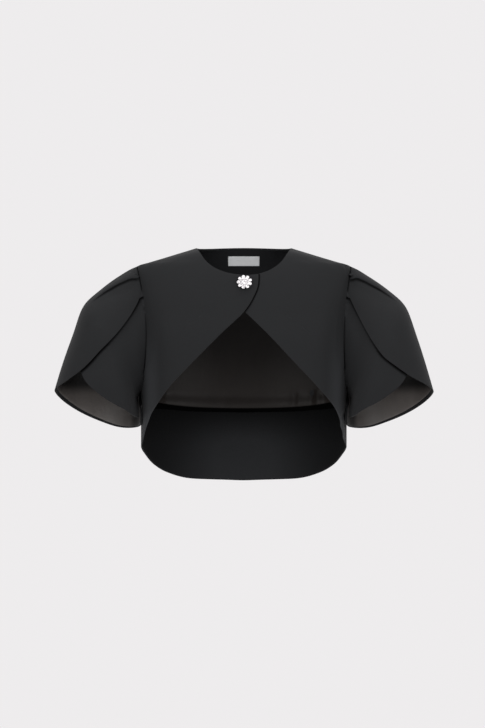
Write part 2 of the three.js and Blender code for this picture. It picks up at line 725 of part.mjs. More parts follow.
function add(name, geometry, look) {
  const mesh = new THREE.Mesh(geometry, new THREE.MeshStandardMaterial(look));
  mesh.name = name;
  parts.add(mesh);
}

add("front_right", front("right", -1, OVER_EDGE, true), CLOTH);
add("front_left", front("left", 1, UNDER_EDGE, false), CLOTH);
add("back", back(), CLOTH);
add("back_neck_facing", neckFacing(), CLOTH);
add("back_hem_facing", hemFacing(), CLOTH);
add("back_lining", backLining(), SATIN);
add("neck_label", neckLabel(), LABEL_CLOTH);
for (const [name, side] of [["right", -1], ["left", 1]]) {
  add(`sleeve_${name}_over_petal`, overPetal(name, side), CLOTH);
  add(`sleeve_${name}_under_petal`, underPetal(name, side), CLOTH);
  add(`sleeve_${name}_lining`, overPetalLining(name, side), SATIN);
}
add("button_shank", onButton(new THREE.CylinderGeometry(BUTTON.shankRadius, BUTTON.shankRadius, BUTTON.shank, 16)
  .rotateX(Math.PI / 2).translate(0, 0, BUTTON.shank / 2)), SILVER);
add("button_plate", buttonPlate(), SILVER);
add("button_stone_centre", onButton(stone(CENTRE_STONE.radius, CENTRE_STONE.height, 12).translate(0, 0, STONE_SEAT)),
  CRYSTAL);
for (let k = 0; k < BUTTON.petals; k++) add(`button_stone_${k + 1}`, petalStone(k), CRYSTAL);

export default parts;
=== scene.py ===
"""Dresses a cropped bolero jacket: crepe shell, satin lining, bare label and flower button."""
from math import exp, pi, radians

import bmesh
import bpy
from bpy.props import FloatProperty, FloatVectorProperty, IntProperty, PointerProperty
from bpy.types import Operator, Panel, PropertyGroup
from mathutils import Matrix, Vector
from mathutils.bvhtree import BVHTree


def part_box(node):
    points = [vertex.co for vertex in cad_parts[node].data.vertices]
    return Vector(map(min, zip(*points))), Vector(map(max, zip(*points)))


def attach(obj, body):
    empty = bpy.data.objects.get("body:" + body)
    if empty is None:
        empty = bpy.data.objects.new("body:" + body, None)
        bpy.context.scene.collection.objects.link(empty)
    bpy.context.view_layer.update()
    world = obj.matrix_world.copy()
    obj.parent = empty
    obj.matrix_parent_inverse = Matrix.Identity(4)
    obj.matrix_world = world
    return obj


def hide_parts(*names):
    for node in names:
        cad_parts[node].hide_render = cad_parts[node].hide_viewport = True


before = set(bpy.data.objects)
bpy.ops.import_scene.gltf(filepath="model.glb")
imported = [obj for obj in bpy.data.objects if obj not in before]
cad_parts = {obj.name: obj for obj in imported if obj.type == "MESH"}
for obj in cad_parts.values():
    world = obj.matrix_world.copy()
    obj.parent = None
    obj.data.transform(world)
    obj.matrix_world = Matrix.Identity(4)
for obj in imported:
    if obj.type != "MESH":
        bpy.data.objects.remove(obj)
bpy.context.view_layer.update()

bl_info = {
    "name": "Bolero Jacket",
    "version": (1, 0, 0),
    "blender": (4, 5, 0),
    "location": "View3D > Sidebar > Jacket",
    "description": "Builds a cropped bolero jacket with petal sleeves and a flower button",
    "category": "Object",
}

MM = 0.001
DOUBLES = 0.02 * MM  # points nearer than this are one point
RIM_RADIUS = 0.45 * MM  # how round the edge of a cloth wall is
SEAM_REACH = 0.9 * MM  # the widest gap at the shoulder and side seams
ROOT_REACH = 6 * MM  # the widest gap between a sleeve's root and its armhole
SEAM_LAP = 0.1 * MM  # how far a sewn edge goes past the surface that it meets
ARMHOLE_BOTTOM = -0.242
BUTTON_PETALS = 9
# painted shade: cloth counted this open is painted mostly black by its finish
CREVICE = 0.1  # how open the cloth counts where a layer covers it


# Node helpers


class Socket:
    """One output of a shader node, with arithmetic that adds Math nodes."""

    def __init__(self, tree, out):
        self.tree = tree
        self.out = out

    def _math(self, operation, *values):
        return self.tree.node("ShaderNodeMath", {"operation": operation}, dict(enumerate(values)))

    def __add__(self, other):
        return self._math("ADD", self, other)

    def __radd__(self, other):
        return self._math("ADD", other, self)

    def __sub__(self, other):
        return self._math("SUBTRACT", self, other)

    def __rsub__(self, other):
        return self._math("SUBTRACT", other, self)

    def __mul__(self, other):
        return self._math("MULTIPLY", self, other)

    def __rmul__(self, other):
        return self._math("MULTIPLY", other, self)


class Finish:
    """A material under construction."""

    def __init__(self, name):
        self.material = bpy.data.materials.new(name)
        self.material.use_nodes = True
        self.tree = self.material.node_tree
        self.shader = self.tree.nodes["Principled BSDF"]
        self.place = self.node("ShaderNodeTexCoord", out="Object")

    def node(self, kind, settings=None, sockets=None, out=0):
        made = self.tree.nodes.new(kind)
        for key, value in (settings or {}).items():
            if key == "stops":
                ramp = made.color_ramp
                while len(ramp.elements) < len(value):
                    ramp.elements.new(0.5)
                for element, (position, colour) in zip(ramp.elements, value):
                    element.position = position
                    element.color = (*colour, 1)
            else:
                setattr(made, key, value)
        for key, value in (sockets or {}).items():
            self.feed(made.inputs[key], value)
        return Socket(self, made.outputs[out])

    def feed(self, target, value):
        if isinstance(value, Socket):
            self.tree.links.new(value.out, target)
        else:
            target.default_value = value

    def set(self, **sockets):
        names = {"colour": "Base Color", "bump": "Normal"}
        for key, value in sockets.items():
            self.feed(self.shader.inputs[names.get(key, key.replace("_", " "))], value)

    def noise(self, scale, detail=2.0, roughness=0.5, stretch=(1, 1, 1)):
        spot = self.node("ShaderNodeMapping", None, {"Vector": self.place, "Scale": stretch})
        return self.node("ShaderNodeTexNoise", None,
                         {"Vector": spot, "Scale": scale, "Detail": detail, "Roughness": roughness}, "Fac")

    def between(self, value, low, high):
        """Rises smoothly from 0 to 1 as a value goes from low to high."""
        return self.node("ShaderNodeMapRange", {"interpolation_type": "SMOOTHSTEP"},
                         {"Value": value, "From Min": low, "From Max": high})

    def across(self, axis, low, high):
        """The same for a coordinate, in metres."""
        return self.between(self.node("ShaderNodeSeparateXYZ", None, {"Vector": self.place}, axis), low, high)

    def mix(self, share, first, second):
        return self.node("ShaderNodeMix", {"data_type": "RGBA"},
                         {"Factor": share, 6: first, 7: second}, 2)

    def paint_shade(self, unshaded_share):
        """Paints the cloth black where this is 0: painted shade, as in a crevice between layers."""
        # painted shade: a black diffuse shader mixed over the cloth
        shade_black = self.node("ShaderNodeBsdfDiffuse", None, {"Color": (0.0012, 0.0012, 0.0012, 1)})
        mixed = self.node("ShaderNodeMixShader", None, {"Fac": unshaded_share})
        mixer = mixed.out.node
        self.tree.links.new(shade_black.out, mixer.inputs[1])
        self.tree.links.new(self.shader.outputs[0], mixer.inputs[2])
        self.tree.links.new(mixed.out, self.tree.nodes["Material Output"].inputs["Surface"])

    def layer(self, name):
        """A value kept at the points of the piece."""
        return self.node("ShaderNodeAttribute", {"attribute_name": name}, None, "Fac")

    def bump(self, height, distance, strength=1.0, under=None):
        sockets = {"Height": height, "Distance": distance, "Strength": strength}
        if under is not None:
            sockets["Normal"] = under
        return self.node("ShaderNodeBump", None, sockets)


def rgb(colour, shade=1.0):
    return (*(channel * shade for channel in colour), 1.0)


# Finishes


def mottled(finish, settings):
    """The crepe's own colour, faintly mottled."""
    mottle = finish.noise(26.0, 3.0, 0.55)
    return finish.mix(mottle, rgb(settings.shell, 0.9), rgb(settings.shell, 1.1))


def crepe(settings, name="crepe", tone_and_painted_shading=mottled):
    """Matt black crepe: a pebbled twist in the yarns and a soft bloom at glancing angles."""
    finish = Finish(name)
    pebble = finish.noise(1 / (settings.pebble * 2.2), 3.0, 0.6)
    finish.set(
        colour=tone_and_painted_shading(finish, settings),
        Roughness=0.78 + 0.14 * pebble,
        bump=finish.bump(pebble, settings.pebble * 0.35, 0.55),
    )
    finish.shader.inputs["Specular IOR Level"].default_value = 0.16
    finish.shader.inputs["Sheen Weight"].default_value = 0.02
    finish.shader.inputs["Sheen Roughness"].default_value = 0.5
    return finish


def shell_crepe(settings):
    return crepe(settings).material


def front_crepe(settings):
    """The fronts' crepe, with painted light on the lower sides where it turns towards the side below the arm,
    and painted shade in the crevice under the other front.
    """
    def tone_and_painted_shading(finish, settings):
        # painted light: the colour rises to 2.6 times the shell's on the lower sides below the arm, where the
        # turned cloth catches more light
        side = 1 - finish.across("X", -0.168, -0.138) * (1 - finish.across("X", 0.138, 0.168))
        low = finish.across("Z", -0.13, -0.25) * finish.across("Y", -0.012, -0.045)
        return finish.mix(side * low, rgb(settings.shell), rgb(settings.shell, 2.6))
    finish = crepe(settings, "front_crepe", tone_and_painted_shading)
    # painted shade: black in the crevice where the other front covers this one
    finish.paint_shade(finish.layer("open"))
    return finish.material


def petal_crepe(settings):
    """The sleeves' crepe, with painted shade: black in the crevices where one layer lies under another, along
    the armhole seam and under the pleat's lip.
    """
    finish = crepe(settings, "petal_crepe")
    # painted shade from the open layer
    finish.paint_shade(finish.layer("open"))
    return finish.material


def facing_crepe(settings):
    """The same crepe inside the back, deep in shade under the lining's fold and towards the sides."""
    def tone_and_painted_shading(finish, settings):
        off = finish.across("X", -0.165, -0.01) * (1 - finish.across("X", 0.01, 0.165))
        neck = finish.across("Z", -0.2, -0.1)
        low = finish.across("Z", -0.28, -0.36)
        return finish.mix(neck * 0.5 + low * (0.25 + 0.75 * off) + 0.15 * off,
                          rgb(settings.shell, 0.12), rgb(settings.shell, 1.3))
    finish = crepe(settings, "facing_crepe", tone_and_painted_shading)
    finish.shader.inputs["Specular IOR Level"].default_value = 0.07
    finish.shader.inputs["Sheen Weight"].default_value = 0.0
    return finish.material


def satin(name, shine):
    """Black-brown lining satin: fine floats down the length, rumpled a little by wear."""
    finish = Finish(name)
    floats = finish.noise(1 / 0.0011, 2.0, 0.5, (1, 1, 0.16))
    rumple = finish.noise(30.0, 3.0, 0.55, (1, 1, 0.45))
    under = finish.bump(rumple, 0.0022, 0.5)
    finish.set(Roughness=0.4 + 0.14 * floats, bump=finish.bump(floats, 0.00008, 0.5, under))
    finish.shader.inputs["Specular IOR Level"].default_value = shine
    return finish


def back_satin(settings):
    """The back's lining, with painted shade darkening it towards the neck and the sides, a painted highlight
    on the roll of its lower edge, and painted black shade where that edge turns under.
    """
    finish = satin("back_lining_satin", 0.12)
    x, z = (finish.node("ShaderNodeSeparateXYZ", None, {"Vector": finish.place}, axis) for axis in "XZ")
    bend = x * x
    over_edge = z - (bend * (0.23 + 10 * bend) - 0.292)
    # painted shade: black where the lower edge turns under, with a painted highlight on the roll just above
    # it
    turned_under_shade = finish.between(over_edge, 0.0065, 0.0095)
    roll_highlight = finish.between(over_edge, 0.019, 0.011)
    # painted shade, darker up towards the neck and out towards the sides
    low = finish.across("Z", -0.12, -0.27)
    off = finish.across("X", -0.16, -0.03) * (1 - finish.across("X", 0.03, 0.14))
    cloth = finish.mix(low * (0.5 + 0.5 * off), rgb(settings.lining, 0.4), rgb(settings.lining, 1.25))
    finish.set(colour=finish.mix(roll_highlight, cloth, rgb(settings.lining, 1.05)))
    finish.paint_shade(turned_under_shade)
    return finish.material


def sleeve_satin(settings):
    """The sleeves' lining, in shade up inside the sleeve, in front and next to the body."""
    finish = satin("sleeve_lining_satin", 0.35)
    lit = finish.across("Z", -0.238, -0.262) * finish.across("Y", -0.1, -0.06)
    out = 1 - finish.across("X", -0.27, -0.19) * (1 - finish.across("X", 0.19, 0.3))
    clear = 1 - finish.across("X", -0.204, -0.192) * (1 - finish.across("X", 0.192, 0.204))
    blotch = finish.noise(34.0, 2.0, 0.5, (1, 1, 0.7))
    tone = lit * clear * (0.3 + 0.32 * out) * (0.7 + 0.6 * blotch)
    # painted shade over the sleeve lining colour, which is itself painted light
    finish.set(colour=finish.mix(tone, rgb(settings.lit_sleeve_lining, 0.05), rgb(settings.lit_sleeve_lining, 1.6)))
    return finish.material


def ribbon(settings):
    """Pale grey label ribbon with fine cross ribs."""
    finish = Finish("label_ribbon")
    ribs = finish.node("ShaderNodeTexWave", {"wave_type": "BANDS", "bands_direction": "Z"},
                       {"Vector": finish.place, "Scale": 1 / 0.0028, "Distortion": 0.4, "Detail": 1.0}, "Fac")
    wear = finish.noise(90.0, 2.0)
    finish.set(
        colour=finish.mix(wear, rgb(settings.label, 0.93), rgb(settings.label, 1.04)),
        Roughness=0.42 + 0.12 * ribs,
        bump=finish.bump(ribs, 0.00012, 0.5),
    )
    return finish.material


def thread(settings):
    """Grey sewing thread, twisted."""
    finish = Finish("sewing_thread")
    twist = finish.noise(1 / 0.0006, 1.0)
    finish.set(colour=finish.mix(twist, rgb(settings.label, 0.6), rgb(settings.label, 0.8)), Roughness=0.55,
               bump=finish.bump(twist, 0.0001))
    return finish.material


def crystal(settings):
    """Cut clear stone with a foiled back, so it shows no cloth; its facets carry painted flashes of
    reflection, white and grey, in their colour.
    """
    finish = Finish("foiled_crystal")
    cuts = finish.node("ShaderNodeTexVoronoi", {"feature": "F1"},
                       {"Vector": finish.place, "Scale": 1 / 0.0021}, "Color")
    split = finish.node("ShaderNodeSeparateColor", None, {"Color": cuts}, "Red")
    # painted reflection: each facet's colour is set between dark grey and white
    painted_flash = finish.node("ShaderNodeValToRGB", {"stops": [
        (0.0, (0.22, 0.21, 0.22)),
        (0.28, (0.55, 0.53, 0.54)),
        (0.5, (0.95, 0.92, 0.93)),
        (1.0, (1.0, 0.98, 0.98)),
    ]}, {"Fac": split}, "Color")
    finish.set(
        colour=painted_flash,
        Roughness=0.05 + 0.07 * split,
        Metallic=0.35 * split,
        bump=finish.bump(split, 0.0004, 0.6),
    )
    finish.shader.inputs["Specular IOR Level"].default_value = 0.85
    finish.shader.inputs["Coat Weight"].default_value = 1.0
    finish.shader.inputs["Coat Roughness"].default_value = 0.02
    return finish.material


def plating(settings):
    """Rhodium plate, a little duller in small random patches."""
    finish = Finish("button_plating")
    dull = finish.noise(420.0, 3.0)
    finish.set(
        colour=finish.mix(dull, rgb(settings.metal, 0.75), rgb(settings.metal, 1.0)),
        Metallic=1.0,
        Roughness=0.16 + 0.2 * dull,
        bump=finish.bump(dull, 0.00005, 0.4),
    )
    return finish.material


def paper(settings):
    """Seamless studio floor."""
    finish = Finish("studio_floor")
    tooth = finish.noise(9.0, 3.0)
    finish.set(colour=finish.mix(tooth, (0.78, 0.775, 0.78, 1), (0.82, 0.815, 0.82, 1)), Roughness=0.9)
    return finish.material


MAKERS = {
    "crepe": shell_crepe, "front": front_crepe, "petal": petal_crepe, "facing": facing_crepe,
    "satin": back_satin, "sleeve_satin": sleeve_satin, "ribbon": ribbon, "thread": thread,
    "crystal": crystal, "plating": plating, "paper": paper,
}
FINISHES = {}


def finish_for(name, settings):
    """The named finish, made once."""
    if name not in FINISHES:
        FINISHES[name] = MAKERS[name](settings)
    return FINISHES[name]


# Mesh helpers


def merged_copy(node):
    """A bmesh of a frame node, its doubles merged and its triangles paired into four-sided faces."""
    bm = bmesh.new()
    bm.from_mesh(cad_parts[node].data)
    bmesh.ops.remove_doubles(bm, verts=bm.verts, dist=DOUBLES)
    bmesh.ops.join_triangles(bm, faces=bm.faces, cmp_seam=False, cmp_sharp=False, cmp_uvs=False,
                             cmp_vcols=False, cmp_materials=False,
                             angle_face_threshold=radians(35), angle_shape_threshold=radians(80))
    return bm


def keep_rims(bm, turn):
    """Creases every rim of a thin wall, and the points where a rim turns a corner."""
    crease = bm.edges.layers.float.new("crease_edge")
    corner = bm.verts.layers.float.new("crease_vert")
    for edge in bm.edges:
        if len(edge.link_faces) == 2 and edge.calc_face_angle() > radians(50):
            edge[crease] = 1.0
    for vert in bm.verts:
        rims = [edge for edge in vert.link_edges if edge[crease] > 0]
        if len(rims) == 2:
            first, second = (edge.other_vert(vert).co - vert.co for edge in rims)
            if first.angle(second, pi) < pi - turn:
                vert[corner] = 1.0
        elif len(rims) > 2:
            vert[corner] = 1.0


def object_from(bm, name):
    mesh = bpy.data.meshes.new(name)
    bm.to_mesh(mesh)
    bm.free()
    made = bpy.data.objects.new(name, mesh)
    bpy.context.scene.collection.objects.link(made)
    return made


def subdivided(bm, name, levels):
    """A bmesh of the smooth surface through the points of this one.

    Smoothing pulls a surface in, so the rough points are first moved out by what each misses.
    """
    rough = object_from(bm, name + "_rough")
    smooth = rough.modifiers.new("smooth", "SUBSURF")
    smooth.levels = smooth.render_levels = levels
    smooth.use_creases = True
    aims = [vert.co.copy() for vert in rough.data.vertices]
    for _ in range(2):
        depsgraph = bpy.context.evaluated_depsgraph_get()
        reached = rough.evaluated_get(depsgraph).data.vertices
        misses = [aim - reached[k].co for k, aim in enumerate(aims)]
        for vert, miss in zip(rough.data.vertices, misses):
            if miss.length < 3 * MM:
                vert.co += miss
        rough.data.update()
        rough.update_tag()
    depsgraph = bpy.context.evaluated_depsgraph_get()
    fine = bmesh.new()
    fine.from_mesh(bpy.data.meshes.new_from_object(rough.evaluated_get(depsgraph)))
    bpy.data.objects.remove(rough)
    return fine


def soften_rims(bm, radius):
    """Rounds the sharp edges of a wall's rim."""
    rims = [edge for edge in bm.edges if len(edge.link_faces) == 2 and edge.calc_face_angle() > radians(55)]
    bmesh.ops.bevel(bm, geom=rims, offset=radius, offset_type="OFFSET", segments=2, profile=0.5,
                    affect="EDGES", clamp_overlap=True, material=-1)


def shaded(piece, angle=50):
    for face in piece.data.polygons:
        face.use_smooth = True
    piece.data.set_sharp_from_angle(angle=radians(angle))
    return piece


def finished(piece, look, settings):
    piece.data.materials.clear()
    piece.data.materials.append(finish_for(look, settings))
    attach(piece, "root")
    return piece


def blend(low, high, value):
    t = min(1.0, max(0.0, (value - low) / (high - low)))
    return t * t * (3 - 2 * t)


def trough(place, start, end, width, depth):
    """How far a soft fold along start-end (x, z) moves a point: deepest on the line, fading at its ends."""
    run = Vector((end[0] - start[0], end[1] - start[1]))
    off = Vector((place[0] - start[0], place[1] - start[1]))
    share = off.dot(run) / run.length_squared
    if share < -0.1 or share > 1.1:
        return 0.0
    away = (off - run * share).length
    return depth * exp(-(away / width) ** 2) * blend(-0.1, 0.3, share) * (1 - blend(0.6, 1.1, share))


# Cloth


def outward(node):
    """The way out of the cloth near a point: from the chest's axis, or from the sleeve's."""
    if not node.startswith("sleeve"):
        return lambda co: Vector((co.x * 0.5, co.y, 0)).normalized()
    side = -1 if "right" in node else 1
    root = Vector((side * 0.186, 0, -0.145))
    along = Vector((side * 0.075, 0, -0.13)).normalized()
    return lambda co: ((co - root) - along * (co - root).dot(along)).normalized()


# Folds of each piece, in mm: start and end (x, z) as seen from the front, width and depth.
FOLDS = {
    "front_right": [
        ((-158, -95), (-150, -235), 13, -1.6),
        ((-135, -120), (-120, -215), 16, 0.9),
        ((-95, -60), (-70, -120), 20, 0.8),
        ((-172, -262), (-164, -318), 6, -1.3),
    ],
    "front_left": [
        ((160, -90), (152, -230), 13, -1.5),
        ((136, -110), (122, -210), 16, 0.9),
        ((90, -60), (66, -118), 20, 0.7),
        ((174, -286), (168, -318), 3.6, -3.4),
        ((167, -296), (176, -332), 3.2, 2.6),
        ((178, -300), (174, -340), 3.4, -2.4),
    ],
    "back": [
        ((-150, -80), (-130, -260), 22, -2.0),
        ((146, -90), (128, -270), 22, -1.8),
        ((-60, -120), (-48, -300), 30, 1.2),
        ((58, -110), (50, -310), 30, 1.3),
        ((-100, -330), (-94, -410), 16, -1.8),
        ((104, -320), (92, -408), 18, -1.9),
        ((0, -300), (4, -414), 24, -1.2),
    ],
}
# The facings and the lining follow the back, and the lining has rumples of its own above its lower edge.
LINING_RUMPLES = [
    ((124, -246), (119, -288), 5, 2.6),
    ((134, -250), (134, -289), 4.5, -2.8),
    ((143, -252), (147, -288), 5, 2.4),
    ((92, -250), (88, -290), 6, 1.8),
    ((101, -252), (101, -290), 5, -1.6),
    ((-138, -250), (-143, -288), 6, 2.2),
    ((-30, -254), (-33, -291), 8, 1.4),
]
FOLDS["back_hem_facing"] = FOLDS["back_neck_facing"] = FOLDS["back"]
FOLDS["back_lining"] = FOLDS["back"] + LINING_RUMPLES


def bell(value, centre, width):
    return exp(-((value - centre) / width) ** 2)


def lean_on_side(bm):
    """Lets the lower sleeve swell against the body: by the side seam, and further forward at its hem."""
    for vert in bm.verts:
        out, y, z = abs(vert.co.x), vert.co.y, vert.co.z
        at_seam = 2.7 * MM * (1 - blend(-0.257, -0.247, z)) * blend(-0.288, -0.268, z)
        at_seam *= bell(y, -0.014, 0.016) * (1 - blend(0.187, 0.2, out))
        at_hem = 3.0 * MM * (1 - blend(-0.284, -0.262, z)) * (1 - blend(0.183, 0.197, out))
        at_hem *= bell(y, 0.018 * blend(-0.292, -0.26, z) - 0.046, 0.014)
        move = at_seam + at_hem
        vert.co.x -= move if vert.co.x > 0 else -move


def press_folds(bm, node):
    way = outward(node)
    folds = FOLDS.get(node, [])
    for vert in bm.verts:
        move = sum(trough((vert.co.x, vert.co.z), [c * MM for c in start], [c * MM for c in end],
                          width * MM, depth * MM) for start, end, width, depth in folds)
        if move:
            vert.co += way(vert.co) * move


def surface_of(piece):
    return BVHTree.FromPolygons([vert.co for vert in piece.data.vertices],
                                [face.vertices for face in piece.data.polygons])


def openness(near, far, distance):
    """How open cloth lies: deep in a crevice within `near` of its neighbour, and 1 beyond `far`; the finish
    paints shade where this is low.
    """
    return CREVICE + (1 - CREVICE) * blend(near, far, distance)


def sew_to(bm, other):
    """Draws a seam's edge across its gap to the piece it is sewn to."""
    for vert in bm.verts:
        spot, _, _, distance = other.find_nearest(vert.co)
        if distance < SEAM_REACH:
            vert.co += (spot - vert.co).normalized() * (distance + SEAM_LAP)


def sew_sleeve(bm, body):
    """Draws the rim of a sleeve's root across its gap to the armhole, and marks painted shade along the seam
    there.
    """
    bm.normal_update()
    layer = bm.verts.layers.float["open"]
    moves = []
    for vert in bm.verts:
        if vert.co.z < ARMHOLE_BOTTOM:
            continue
        spot, _, _, distance = min((skin.find_nearest(vert.co) for skin in body), key=lambda found: found[3])
        way = (spot - vert.co).normalized()
        # painted shade along the armhole seam
        vert[layer] = min(vert[layer], openness(1.0 * MM, 3.2 * MM, distance))
        if distance < ROOT_REACH and any(face.normal.dot(way) > 0.6 for face in vert.link_faces):
            moves.append((vert, way * (distance + SEAM_LAP)))
    for vert, move in moves:
        vert.co += move


def shade_under(bm, cover, near, far):
    """Keeps at each point how open it lies beneath the covering layer, as the mask for the painted shade
    there.
    """
    layer = bm.verts.layers.float["open"]
    for vert in bm.verts:
        distance = cover.find_nearest(vert.co)[3]
        vert[layer] = min(vert[layer], openness(near, far, distance))


def cloth_piece(node, levels, look, settings, shape):
    """A frame wall as finished cloth: smooth, pressed with its folds, its rims rounded."""
    bm = merged_copy(node)
    keep_rims(bm, radians(38))
    bm = subdivided(bm, node, levels)
    press_folds(bm, node)
    if node.startswith("sleeve"):
        lean_on_side(bm)
    soften_rims(bm, RIM_RADIUS)
    layer = bm.verts.layers.float.new("open")
    for vert in bm.verts:
        vert[layer] = 1.0
    if shape:
        shape(bm)
    piece = shaded(object_from(bm, node + "_cloth"))
    finished(piece, look, settings)
    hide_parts(node)
    return piece


def shell_cloth(node, look, settings, shape=None, finer=0):
    return cloth_piece(node, settings.smoothness + finer, look, settings, shape)


def lining_cloth(node, look, settings):
    return cloth_piece(node, settings.smoothness, look, settings, None)


# The pleat at each sleeve head: points of its folded edge, in mm, from the armhole outwards.
PLEAT_LINE = {
    "right": [(-180, -33, -52), (-194, -42, -57.5), (-207, -50, -63.5), (-224, -60, -72.5),
              (-241, -68, -82.5), (-257, -74, -93), (-270, -76, -104)],
    "left": [(181, -29, -49), (196, -39, -55), (209, -47, -61.5), (225, -57, -71),
             (242, -66, -81), (258, -72, -92), (272, -75, -104)],
}
PLEAT_STEPS = 60  # along its edge
# painted shade in front of the pleat's edge: its reach, its place ahead of the edge, its width and its
# strength
PLEAT_SHADE = {"reach": 12 * MM, "ahead": 2.4 * MM, "width": 1.9 * MM, "strength": 0.85}
# The lip of the pleat from behind its fold, over the edge and back beneath: how far behind the edge it is,
# and how high over the sleeve, both in mm.
PLEAT_LIP = [(20, -0.5), (15, 0.15), (10, 0.75), (6, 1.3), (3, 1.7), (1, 1.95), (-0.5, 1.95), (-1.4, 1.7),
             (-1.6, 1.3), (-1, 1.0), (0.5, 0.85), (4, 0.6), (12, -0.5)]
LIP_TURN = 8  # the place in that list after which the lip is on its underside


def smooth_line(points, steps):
    """Points evenly along a smooth curve through these."""
    found = []
    last = len(points) - 1
    for k in range(steps + 1):
        at = last * k / steps
        i = min(int(at), last - 1)
        t = at - i
        before, start, end, after = (points[min(max(j, 0), last)] for j in (i - 1, i, i + 1, i + 2))
        slope = end - before
        bend = 2 * before - 5 * start + 4 * end - after
        twist = 3 * start - before - 3 * end + after
        found.append(0.5 * (2 * start + slope * t + bend * t * t + twist * t ** 3))
    return found


def across_fold(line, k, way):
    """The ways off the sleeve and forwards over it at a place on the pleat's edge."""
    run = (line[min(k + 1, PLEAT_STEPS)] - line[max(k - 1, 0)]).normalized()
    up = way(line[k])
    ahead = run.cross(up).normalized()
    if ahead.y > 0:
        ahead.negate()
    return up, ahead


def shade_pleat(bm, line, way):
    """Marks painted shade in the crevice in front of the pleat's edge."""
    layer = bm.verts.layers.float["open"]
    for vert in bm.verts:
        k = min(range(len(line)), key=lambda i: (line[i] - vert.co).length_squared)
        if (line[k] - vert.co).length > PLEAT_SHADE["reach"] or k == PLEAT_STEPS:
            continue
        ahead = across_fold(line, k, way)[1]
        gap = (vert.co - line[k]).dot(ahead)
        share = k / len(line)
        strength = PLEAT_SHADE["strength"] * blend(0, 0.12, share) * (1 - blend(0.55, 0.95, share))
        vert[layer] = min(vert[layer], 1 - strength * bell(gap, PLEAT_SHADE["ahead"], PLEAT_SHADE["width"]))


def pleat_lip(skin, line, way, stand):
    """The closed lip of folded cloth along the pleat's edge, which dies out at its far end."""
    lip = bmesh.new()
    layer = lip.verts.layers.float.new("open")
    folds = len(PLEAT_LIP) - 1
    bmesh.ops.create_grid(lip, x_segments=PLEAT_STEPS, y_segments=folds, size=1)
    for vert in lip.verts:
        k = round((vert.co.x + 1) / 2 * PLEAT_STEPS)
        place = round((vert.co.y + 1) / 2 * folds)
        behind, height = PLEAT_LIP[place]
        share = k / PLEAT_STEPS
        up, ahead = across_fold(line, k, way)
        foot = line[k] - ahead * behind * MM
        hit = skin.ray_cast(foot + up * 20 * MM, -up)[0]
        rise = stand * (1 - blend(0.45, 1.0, share))
        vert.co = (hit or foot) + up * (height * rise - 0.8 * MM * blend(0.75, 1.0, share))
        # painted shade: the lip's underside is painted near black
        vert[layer] = CREVICE if place > LIP_TURN else 1.0
    sides = [edge for edge in lip.edges if edge.is_boundary]
    bmesh.ops.holes_fill(lip, edges=sides, sides=0)
    bmesh.ops.triangulate(lip, faces=[face for face in lip.faces if len(face.verts) > 4])
    bmesh.ops.recalc_face_normals(lip, faces=lip.faces)
    return lip


def add_pleat(bm, side, settings):
    """Adds the folded lip of the sleeve head's pleat to the petal's cloth."""
    line = smooth_line([Vector(p) * MM for p in PLEAT_LINE[side]], PLEAT_STEPS)
    way = outward("sleeve_" + side)
    skin = BVHTree.FromBMesh(bm)
    shade_pleat(bm, line, way)
    lip = pleat_lip(skin, line, way, settings.pleat)
    mesh = bpy.data.meshes.new("pleat_lip")
    lip.to_mesh(mesh)
    lip.free()
    bm.from_mesh(mesh)
    bpy.data.meshes.remove(mesh)


# Small things

# The ring of small stones: how far from the button's foot and from its axis, and how big.
INNER_STONE = {"height": 4.4 * MM, "out": 6.3 * MM, "radius": 1.0 * MM}
LABEL_STITCHES = 6  # at each end
LABEL_INSET = 1.3 * MM


def turned_to(way, spot):
    """A matrix that stands +Z along a direction at a point."""
    return Matrix.Translation(spot) @ way.to_track_quat("Z", "Y").to_matrix().to_4x4()


def middle(node):
    points = [vert.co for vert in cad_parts[node].data.vertices]
    return sum(points, Vector()) / len(points)


def inner_stones(settings):
    """A ring of small stones round the centre one, each between the roots of two petals."""
    foot = middle("button_shank")
    heart = middle("button_stone_centre")
    out = (heart - foot).normalized()
    petals = [middle(f"button_stone_{k + 1}") for k in range(BUTTON_PETALS)]
    bm = bmesh.new()
    for petal, following in zip(petals, petals[1:] + petals[:1]):
        way = petal + following - 2 * heart
        way = (way - out * way.dot(out)).normalized()
        spot = foot + out * INNER_STONE["height"] + way * INNER_STONE["out"]
        bmesh.ops.create_icosphere(bm, subdivisions=2, radius=INNER_STONE["radius"],
                                   matrix=turned_to(out, spot))
    stones = object_from(bm, "button_inner_stones")
    finished(stones, "crystal", settings)


def label_stitches(settings):
    """Short stitches down both ends of the label."""
    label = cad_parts["neck_label"]
    skin = surface_of(label)
    low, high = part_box("neck_label")
    bm = bmesh.new()
    for side in (low[0] + LABEL_INSET, high[0] - LABEL_INSET):
        for k in range(LABEL_STITCHES):
            z = low[2] + (high[2] - low[2]) * (k + 0.5) / LABEL_STITCHES
            spot, way = skin.ray_cast(Vector((side, -1, z)), Vector((0, 1, 0)))[:2]
            stitch = bmesh.ops.create_icosphere(bm, subdivisions=2, radius=0.3 * MM)["verts"]
            bmesh.ops.scale(bm, verts=stitch, vec=(1, 0.6, 3.2))
            bmesh.ops.translate(bm, verts=stitch, vec=spot + way * 0.05 * MM)
    stitches = shaded(object_from(bm, "label_stitches"))
    finished(stitches, "thread", settings)


# Operators


